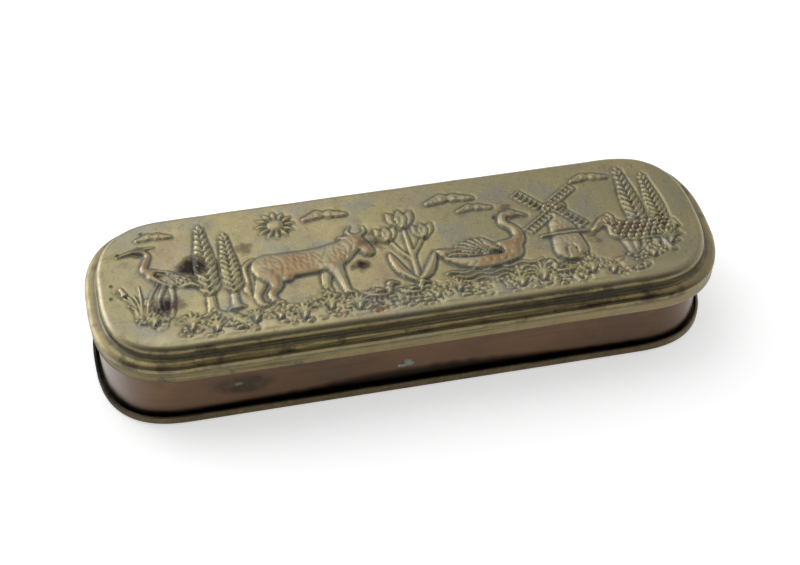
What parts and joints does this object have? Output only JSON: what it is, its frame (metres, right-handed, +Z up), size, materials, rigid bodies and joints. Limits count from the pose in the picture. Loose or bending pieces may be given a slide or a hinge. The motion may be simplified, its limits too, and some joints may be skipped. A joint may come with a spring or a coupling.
{
  "type": "tobacco box",
  "caption": "Long oblong sheet-metal tobacco box: copper wall standing in a shallow brass tray, stamped brass lid with moulded border and skirt, turning on a knuckle hinge along the back.",
  "frame": {"origin": "middle of the tray's flat underside, on the surface that the box stands on", "axes": "+X along the box, towards the end that the lid overhangs more; +Y towards the hinge at the back; +Z up"},
  "size_m": [0.165, 0.0579, 0.026],
  "materials": {
    "lid_brass": "stamped, aged, rubbed on the high points",
    "base_brass": "rolled sheet, brown with age",
    "wall_copper": "rolled copper sheet, dark brown tarnish",
    "hinge_brass": "drawn tube and strip, soldered, tarnished",
    "pin_wire": "drawn wire with hammered ends"
  },
  "bodies": {
    "box": {"base_tray": "base_brass", "body_wall": "wall_copper", "hinge_body_bearer": "hinge_brass", "hinge_body_knuckle_1": "hinge_brass", "hinge_body_knuckle_2": "hinge_brass", "hinge_body_knuckle_3": "hinge_brass", "hinge_body_knuckle_4": "hinge_brass", "hinge_pin": "pin_wire"},
    "lid": {"lid_panel": "lid_brass", "lid_skirt": "lid_brass", "hinge_lid_bearer": "hinge_brass", "hinge_lid_knuckle_1": "hinge_brass", "hinge_lid_knuckle_2": "hinge_brass", "hinge_lid_knuckle_3": "hinge_brass"}
  },
  "joints": [
    {"name": "lid_hinge", "type": "hinge", "parent": "box", "child": "lid", "pos_m": [0, 0.0289, 0.01625], "axis": [-1, 0, 0], "range_deg": [0, 110]}
  ]
}
